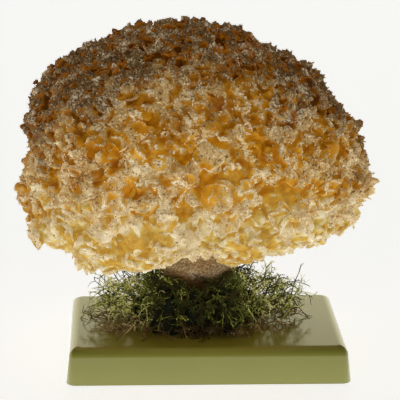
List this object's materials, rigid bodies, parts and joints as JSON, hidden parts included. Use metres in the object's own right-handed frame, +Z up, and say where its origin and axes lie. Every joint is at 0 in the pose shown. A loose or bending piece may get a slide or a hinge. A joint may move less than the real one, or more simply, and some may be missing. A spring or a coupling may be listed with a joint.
{
  "type": "cauliflower fungus on a plinth",
  "caption": "Ruffled cream and amber fungus head on a short stalk, bedded in moss and fixed to a low moulded plinth with a flat rim to rest on.",
  "frame": {"origin": "on the surface it stands on, under the middle of the whole object's bounding box; the plinth's middle lies 6.6 mm towards +X and 1.2 mm towards -Y of it", "axes": "+X to the object's right as seen from its front, +Y towards its back, +Z up"},
  "size_m": [0.226, 0.1861, 0.2203],
  "materials": {
    "fungus_flesh": "waxy cream lobe margins over amber flesh, toasted dark brown at the crown",
    "moss": "tangled yellow-green to dark green strands, some reddish brown",
    "plinth_plastic": "glossy olive green moulding",
    "steel": "zinc bright"
  },
  "bodies": {
    "root": {"fungus": "fungus_flesh", "moss_right": "moss", "moss_back_right": "moss", "moss_back": "moss", "moss_back_left": "moss", "moss_left": "moss", "moss_front_left": "moss", "moss_front": "moss", "moss_front_right": "moss", "plinth": "plinth_plastic", "fixing_screw": "steel", "screw_washer": "steel"}
  },
  "joints": []
}
